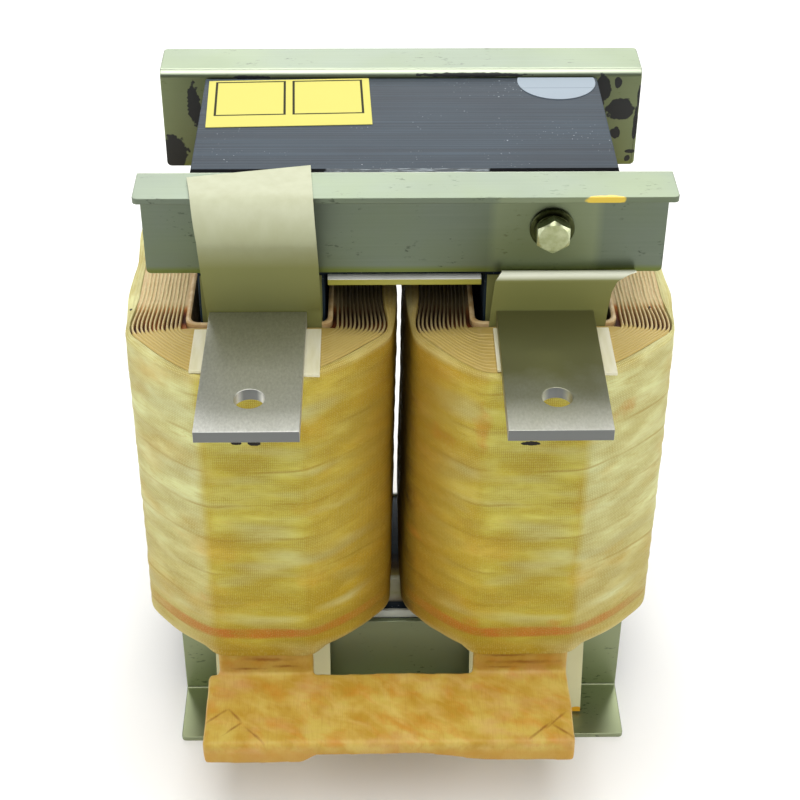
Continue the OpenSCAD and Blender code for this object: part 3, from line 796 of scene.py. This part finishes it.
def coil_wrap(side, material):
    """Half-lapped glass tape: level steps up the walls, lips rolled over at the top and the foot. The
    skin is joined where the coils face each other."""
    outer, inner = wrap_outlines(side)
    late = int(math.copysign(len(outer) // 4, -COIL_X[side]))
    outer, inner = begun(outer, late), begun(inner, late)
    outward = ways(outer)
    seed = 2.0 + SIDES.index(side)
    x = COIL_X[side]

    def wall(z):
        """The tape's outline at a height: lapped, puckered, sagging, and leaning in towards the top."""
        grown = []
        rise = (z - COIL_LOW) / (COIL_TOP - COIL_LOW)
        for p, way in zip(outer, outward):
            wave = 1.6 * wander(p.x, p.y, z, size=30, seed=seed)
            turn = ((z + wave) / LAP) % 1
            step = 0.28 * min(turn / 0.12, 1) * (1 - turn)
            pucker = 0.32 * wander(p.x, p.y, 3 * z, size=14, seed=seed + 9)
            sag = 0.35 * wander(p.x, p.y, z, size=38, seed=seed + 5)
            waist = 1.4 * share_between(abs(p.y), 28, -4) * rise
            turned_in = (0.6 + 1.4 * rise) * share_between(abs(p.y), 24, 56)
            top, foot = DRAWN_IN[side][0 if p.x * x > 0 else 1]
            drawn = (foot + (top - foot) * rise + turned_in) * (p.x / WRAP_HALF_W) ** 3
            grown.append(p + way * (step + pucker + sag + 0.4 - 0.9 * rise - waist) - Vector((drawn, 0)))
        return grown

    def lip(share, drop, end, sign):
        """A row of the rolled edge. At the foot it hangs lower where it covers the lower lead."""
        heights = []
        for p in outer:
            ragged = 0.5 * (1 + wander(p.x, p.y, size=9, seed=seed + 3)) * share
            cover = 3.0 * share_between(-p.y, WRAP_FRONT - 4, WRAP_FRONT - 0.5) * (sign < 0)
            heights.append(end - sign * (drop + ragged) - cover)
        return at(between(inner, wall(end), share), x, heights)

    rolled = [(0, 3), (0, 1.2), (0.12, 0.3), (0.4, 0), (0.75, 0.05), (0.93, 0.55)]
    rows = [lip(share, drop, COIL_LOW, -1) for share, drop in rolled]
    for z in np.linspace(COIL_LOW + 1.9, COIL_TOP - 1.9, 101):
        rows.append(at(wall(z), x, z))
    rows += [lip(share, drop, COIL_TOP, 1) for share, drop in reversed(rolled)]
    rows += [at(drawn_in(inner, 3), x, z) for z in (COIL_TOP - 8, COIL_LOW + 8)]
    rows.append(rows[0])
    bm = bmesh.new()
    skin(bm, rows, late=late)
    crease, facing, rim = (bm.verts.layers.float.new(name) for name in ("crease", "facing", "rim"))
    for vert in bm.verts:
        off = (vert.co.x - x - LEAD_SHIFT[side]) * math.copysign(1, x)
        slanted = vert.co.y < -SIDE_FLAT
        vert[crease] = max(0.0, 1 - abs(abs(off) - FACET) / 3) if slanted else 0.0
        soft = 2.5 if vert.co.y < 0 else 10
        start, stop = FACET + 1.5 - soft, FACET + 1.5 + soft
        vert[facing] = share_between(off, start, stop) - share_between(-off, start, stop)
        foot = share_between(vert.co.z, COIL_LOW + 3.2, COIL_LOW + 1)
        foot *= share_between(abs(off), FACET - 2, FACET + 3)
        vert[rim] = max(foot, 0.8 * share_between(vert.co.z, COIL_TOP - 3, COIL_TOP - 1))
    smooth(bm)
    show(side + "_glass_wrap", bm, material, "glass_tape", side + "_coil_wrap")


def gap_share(p, share):
    """How far the papers stand apart at a point of a coil's end, between the innermost, share 0, and
    the outermost, 1: first along the straight side, and then in the open curve before the corner."""
    far = abs(p.y)
    corner = 52.5 + 4.5 * share
    closed = share_between(far, corner - 2.5, corner + 0.5)
    return 1 - closed, share_between(far, 34, 42) * (1 - closed)


def paper_edges(side, material):
    """Edges of the papers wound between the foils, standing proud of the resin at both ends."""
    bm = bmesh.new()
    resin, packed = (bm.verts.layers.float.new(name) for name in ("resin", "packed"))
    x = COIL_X[side]
    profile = [(-1.0, 3.2), (-1.0, 0.4), (-0.55, 0.08), (0.0, 0.0), (0.55, 0.08), (1.0, 0.4),
               (1.0, 3.2), (-1.0, 3.2)]
    for end, sign in ((COIL_TOP, 1), (COIL_LOW, -1)):
        for layer in range(PAPERS):
            seed = layer * 1.7 + sign + 5 * SIDES.index(side)
            share = layer / (PAPERS - 1)
            line = [p + Vector((0.25, 0.25)) * wander(p.x, p.y, size=9, seed=seed)
                    for p in paper_outline(side, share)]
            apart = [gap_share(p, share) for p in line]
            edges = []
            for p, (along, _) in zip(line, apart):
                ragged = (0.105 + 0.245 * along) * wander(p.x, p.y, size=16, seed=seed + 3)
                edges.append(end - sign * (0.3 + ragged))
            halves = [way * (0.78 - 0.2 * along - 0.16 * opened)
                      for way, (along, opened) in zip(ways(line), apart)]
            before = set(bm.verts)
            skin(bm, [at([p + half * out for p, half in zip(line, halves)], x,
                         [edge - sign * drop for edge in edges]) for out, drop in profile])
            for vert in set(bm.verts) - before:
                along, opened = gap_share(vert.co, share)
                sunk = min(1.0, abs(vert.co.z - end) / 3)
                vert[resin] = sunk * (0.1 + 0.9 * opened)
                vert[packed] = 1 - along
    smooth(bm, 60)
    show(side + "_paper_layers", bm, material, "layer_paper", side + "_paper_edges")


def foil_fill(side, material):
    """Foils drowned in resin under the paper edges: low along the sides, lowest in the open curves
    before the corners, and nearly flush elsewhere."""
    x = COIL_X[side]
    hole_w, hole_d = FORMER_HALF.x + 0.05, FORMER_HALF.y + 0.6
    inner = outline(hole_w, hole_d - 6, hole_w - 6, hole_d, hole_d, 2.4, rounding=1)
    outer = between(*reversed(wrap_outlines(side)), 0.05)
    steps = 40

    def level(end, sign, share):
        row = between(inner, outer, share)
        heights = []
        for p in row:
            along, opened = gap_share(p, share)
            drop = 0.42 + 0.2 * along + 2.0 * opened + 0.12 * wander(p.x, p.y, size=5, seed=8)
            heights.append(end - sign * drop)
        return at(row, x, heights)

    rows = [level(COIL_LOW, -1, 1 - i / steps) for i in range(steps + 1)]
    rows += [level(COIL_TOP, 1, i / steps) for i in range(steps + 1)]
    rows += [at(drawn_in(outer, 4), x, z) for z in (COIL_TOP - 6, COIL_LOW + 6)]
    rows.append(rows[0])
    bm = bmesh.new()
    skin(bm, rows)
    resin = bm.verts.layers.float.new("resin")
    for vert in bm.verts:
        share = share_of_build(vert.co, x)
        along, opened = gap_share(vert.co, share)
        patchy = 0.5 + 0.5 * share_between(wander(vert.co.x, vert.co.y, size=9, seed=4), -0.5, 0.3)
        vert[resin] = 0.22 * along + 0.78 * opened * patchy
    smooth(bm, 60)
    show(side + "_foil_pack", bm, material, "foil_pack", side + "_winding")


def share_of_build(p, x):
    """How far out a point at a coil's side lies in its build, 0 at the former and 1 at the wrap."""
    return max(0.0, min(1.0, (abs(p.x - x) - FORMER_HALF.x) / (WRAP_HALF_W - 5 - FORMER_HALF.x)))


def former(side, material):
    """Board tube the coil is wound on, its corners rounded and its rims worn."""
    x = COIL_X[side]
    low, high = mm_box(side + "_former")
    w, d, t = FORMER_HALF.x, FORMER_HALF.y, TUBE_T
    outer = outline(w, d - 6, w - 6, d, d, 2.4, rounding=2)
    inner = outline(w - t, d - t - 5, w - t - 5, d - t, d - t, 2.0, rounding=2)
    profile = [(0, 1), (0, 0.4), (0.3, 0), (0.7, 0), (1, 0.4), (1, 1)]
    rows = [at(between(inner, outer, u), x, low.z + drop) for u, drop in profile]
    rows += [at(between(inner, outer, u), x, high.z - drop) for u, drop in reversed(profile)]
    rows.append(rows[0])
    bm = bmesh.new()
    skin(bm, rows)
    smooth(bm)
    show(side + "_board_tube", bm, material, "former_board", side + "_former")


# ---- sheets ----

def resample(path):
    """Points about a millimetre apart along a line of (y, z) corners."""
    points = []
    for a, b in zip(path, path[1:]):
        a, b = Vector(a), Vector(b)
        parts = max(1, round((b - a).length))
        points += [a.lerp(b, i / parts) for i in range(parts)]
    return points + [Vector(path[-1])]


def bend_over(y, z, radius):
    """Quarter circle about a point, from rising to level, as (y, z) points."""
    angles = [math.radians(180 - 9 * k) for k in range(11)]
    return [(y + radius * math.cos(a), z + radius * math.sin(a)) for a in angles]


def bent_sheet(name, node, path, lows, highs, material, reach=(1.0, 1.0)):
    """Thin sheet bent along a path of (y, z) points. Lows and highs give its two sides in X at some
    distances along the path, and reach is the share of the path that each side covers."""
    points = resample(path)
    columns = 24
    for _ in range(2):
        inside = [(a + 2 * b + c) / 4 for a, b, c in zip(points, points[1:], points[2:])]
        points = [points[0]] + inside + [points[-1]]
    last = len(points) - 1
    rows = []
    for i in range(last + 1):
        row = []
        for k in range(columns + 1):
            place = i * (reach[0] + (reach[1] - reach[0]) * k / columns)
            near = points[int(place)].lerp(points[min(last, int(place) + 1)], place % 1)
            low, high = (np.interp(place, *zip(*side)) for side in (lows, highs))
            x = low + (high - low) * k / columns
            ripple = 0.2 * wander(x, near.x, near.y, size=18, seed=len(name))
            row.append(Vector((x, near.x - ripple, near.y + ripple)))
        rows.append(row)
    bm = bmesh.new()
    skin(bm, rows, closed=False)
    bmesh.ops.solidify(bm, geom=bm.faces[:], thickness=SHEET_T)
    smooth(bm, 50)
    show(name, bm, material, "barrier_sheet", node)


def sheets(material):
    slot_y = -(FORMER_HALF.y + 0.3)
    low, high = mm_box("left_top_sheet")
    bent_sheet("left_raised_sheet", "left_top_sheet",
               [(slot_y, low.z + 0.3), (slot_y, 226), *bend_over(low.y + 15.3, high.z - 15.3, 15),
                (high.y + 2.0, 288.7)],
               [(0, -80.3), (20, -81.4), (48, -80.7), (78, -79.9), (96, -82.9), (120, -86.6)],
               [(0, -33.9), (20, -34.3), (60, -34.1), (78, -34.3), (96, -35.8), (120, -37.2)],
               material, (0.915, 1.0))
    low, high = mm_box("right_top_sheet")
    bent_sheet("right_curled_sheet", "right_top_sheet",
               [(slot_y, low.z + 0.3), (slot_y, 226), *bend_over(low.y + 3.3, high.z - 2.8, 3),
                (high.y - 0.3, high.z - 1.8)],
               [(0, 34.2), (36, 36.5), (46, 39.4)], [(0, 82.4), (30, 84.4), (36, 86.2), (46, 94.0)],
               material)
    for side in SIDES:
        low, high = mm_box(side + "_low_sheet")
        bent_sheet(side + "_apron_sheet", side + "_low_sheet",
                   [(slot_y, high.z), (slot_y, COIL_LOW - 1), (low.y + 0.3, low.z + 0.2)],
                   [(0, low.x), (1, low.x)], [(0, high.x), (1, high.x)], material)


# ---- leads ----

def box_between(bm, low, high):
    made = bmesh.ops.create_cube(bm, size=1)["verts"]
    bmesh.ops.scale(bm, vec=Vector(high) - Vector(low), verts=made)
    bmesh.ops.translate(bm, vec=(Vector(high) + Vector(low)) / 2, verts=made)


def link_and_necks(material):
    """The two lower leads and the bar between them, all under one winding of tape. It is soft-edged,
    lies in lapped turns, and hangs lower over the leads at its two ends."""
    low, high = mm_box("series_link")
    floor = mm_box("left_low_lead")[0].z + 1.2
    lap = 13
    bm = bmesh.new()
    box_between(bm, (low.x - 0.4, low.y - 0.2, low.z - 0.6), (high.x + 0.4, high.y, high.z + 0.4))
    for side in SIDES:
        a, b = mm_box(side + "_low_lead")
        box_between(bm, (a.x - 0.3, -WRAP_FRONT + 1.1, floor), (b.x + 0.3, -WRAP_FRONT + 7, COIL_LOW + 3))
    obj = show("taped_link", bm, material, "lead_tape", "series_link", "left_low_lead", "right_low_lead")
    remesh = obj.modifiers.new("one_skin", "REMESH")
    remesh.mode = "VOXEL"
    remesh.voxel_size = 0.8 * MM
    soften = obj.modifiers.new("soft_edges", "SMOOTH")
    soften.factor = 0.5
    soften.iterations = 24
    shaped = obj.evaluated_get(bpy.context.evaluated_depsgraph_get())
    bm = bmesh.new()
    bm.from_mesh(shaped.to_mesh())
    obj.modifiers.clear()
    bm.normal_update()
    for vert in bm.verts:
        p = vert.co / MM
        turn = ((p.x + 0.3 * p.y + 3 * wander(*p, size=20)) / lap) % 1
        step = 0.22 * min(turn / 0.1, 1) * (1 - turn)
        pucker = 0.14 * wander(*p, size=6, seed=2) + 0.4 * wander(*p, size=24, seed=6)
        vert.co += vert.normal * (step + pucker + 0.25) * MM
        if p.y < -WRAP_FRONT - 2:
            over_lead = max(share_between(p.x, -37, -47), share_between(p.x, 4, 42))
            under = share_between(p.z, high.z - 1, low.z)
            vert.co.z -= (low.z - 0.6 - floor) * over_lead * under * MM
    for face in bm.faces:
        face.smooth = True
    bm.to_mesh(obj.data)
    bm.free()


def terminal_sag(p):
    """A bar's free end hangs a little low and reaches a little far."""
    share = max(0.0, min(1.0, (-p.y - 60) / 70))
    return (-0.5 * share, -1.6 * share, -0.6 * share * share)


def pad_turn(p):
    """A pad's front edge is pushed in a little, and askew about the coil's middle."""
    off = p.x - COIL_X["left" if p.x < 0 else "right"]
    return (0, 1.3 - 0.06 * off if p.y < -70 else 0, 0)


# ---- bolts ----

def ring(radius, y):
    turns = [2 * math.pi * k / 48 for k in range(48)]
    return [Vector((radius * math.sin(t), y, radius * math.cos(t))) for t in turns]


def hexagon(y, drop=0.0):
    """Outline of a bolt's hexagon with a corner up, its corners drawn back by the chamfer."""
    points = []
    for p in ring(1, 0):
        turn = math.atan2(p.x, p.z) % (math.pi / 3) - math.pi / 6
        reach = BOLT_FLATS / 2 / math.cos(turn)
        points.append(Vector((p.x * reach, y + drop * (reach - BOLT_FLATS / 2), p.z * reach)))
    return points


def washer(radius, near, far, ease):
    """Rows of a washer that lies between two faces, with its rim eased."""
    return [ring(r, y) for r, y in ((4.4, near), (radius - ease, near), (radius, near - ease),
                                    (radius, far + ease), (radius - ease, far), (4.4, far))]


def turned(bm, rows, place, facing):
    """Skins rows of points round the Y axis, closed at both ends, and sets the solid in place."""
    solid = bmesh.new()
    skin(solid, rows)
    for row in (rows[0], rows[-1]):
        loop = [v for v in solid.verts if any((v.co - p).length < 1e-4 for p in row)]
        edges = [e for e in solid.edges if e.is_boundary and all(v in loop for v in e.verts)]
        bmesh.ops.contextual_create(solid, geom=edges)
    turn = Matrix.Rotation(0 if facing < 0 else math.pi, 4, "Z")
    bmesh.ops.transform(solid, matrix=Matrix.Translation(place) @ turn, verts=solid.verts)
    mesh = mesh_of("part", solid)
    bm.from_mesh(mesh)
    bpy.data.meshes.remove(mesh)


def bolt_set(row, bright, deep):
    """Bolts through the clamps: hex heads at the front and nuts at the rear, on washers. Each profile
    runs along the bolt, outward from the clamp's face."""
    heads, rings, nuts = (bmesh.new() for _ in range(3))
    for x in (-BOLT_X, BOLT_X):
        front, rear = (Vector((x, y, BOLT_HEIGHTS[row])) for y in (-BOLT_FACE, BOLT_FACE))
        turned(heads, [hexagon(-3.2), hexagon(-7.9, 0.55), ring(5.9, -8.5), ring(5.4, -8.5),
                       ring(2.0, -8.35)], front, -1)
        turned(heads, [ring(3.9, 2 * BOLT_FACE - 1), ring(3.9, -9.7)]
               + [ring(4.0 - 0.35 * (k % 2), -9.7 - 0.6 * k) for k in range(1, 6)]
               + [ring(3.3, -13.4)], rear, 1)
        turned(nuts, [ring(5.9, -3.2), hexagon(-3.8, 0.55), hexagon(-9.1, 0.55),
                      ring(5.9, -9.7), ring(4.2, -9.7), ring(4.0, -9.2)], rear, 1)
        for place, facing in ((front, -1), (rear, 1)):
            turned(rings, washer(9.0, 0, -1.6, 0.3), place, facing)
            turned(rings, washer(7.2, -1.6, -3.2, 0.2), place, facing)
    for name, bm, node, material in (("bolt_heads", heads, "bolts", bright),
                                     ("spring_washers", rings, "washers", deep),
                                     ("hex_nuts", nuts, "nuts", bright)):
        smooth(bm, 35)
        show(f"{row}_{name}", bm, material, "bolt_steel", f"{row}_{node}")


# ---- the whole reactor ----

def make_reactor():
    tube, paper = resin_board(), barrier_paper()
    tape, layers, fill = coil_tape(), layer_paper(), poured_resin()
    aluminium, cream = rolled_aluminium(), cream_pressboard()
    for nodes, material, slot in (
            (("front_top_clamp", "rear_top_clamp", "front_low_clamp", "rear_low_clamp"),
             varnished_steel(), "clamp_steel"),
            (("upper_yoke", "lower_yoke", "left_limb", "right_limb"), lamination_paint(), "core_paint"),
            (("top_liners", "low_liners"), black_pressboard(), "liner_board"),
            (("window_board",), white_laminate(), "white_board"),
            (("window_strips",), strip_board(), "white_board")):
        for node in nodes:
            eased(node, material, slot)
    for side in SIDES:
        coil_wrap(side, tape)
        paper_edges(side, layers)
        foil_fill(side, fill)
        former(side, tube)
        eased(side + "_limb_liners", paper, "barrier_sheet", 0.2)
        eased(side + "_coil_wedges", tube, "former_board")
        eased(side + "_terminal", aluminium, "bare_aluminium", 0.4, move=terminal_sag)
        eased(side + "_pad", cream, "pad_felt", 0.25, move=pad_turn)
    sheets(paper)
    link_and_necks(lead_tape())
    zinc = (passivated_zinc("yellow_passivated_zinc", "#b4bb8e", "#d2d8b4"),
            passivated_zinc("olive_passivated_zinc", "#363a20", "#53583a"))
    for row in BOLT_HEIGHTS:
        bolt_set(row, *zinc)
    eased("yellow_label", label_film("yellow_label_film", "#ccc568", "#2c2b18", *YELLOW), "label_yellow",
          0.08)
    eased("white_label", label_film("white_label_film", "#98a3ac", "#7b848b", *WHITE), "label_white", 0.08)


make_reactor()
place_camera()
make_studio()
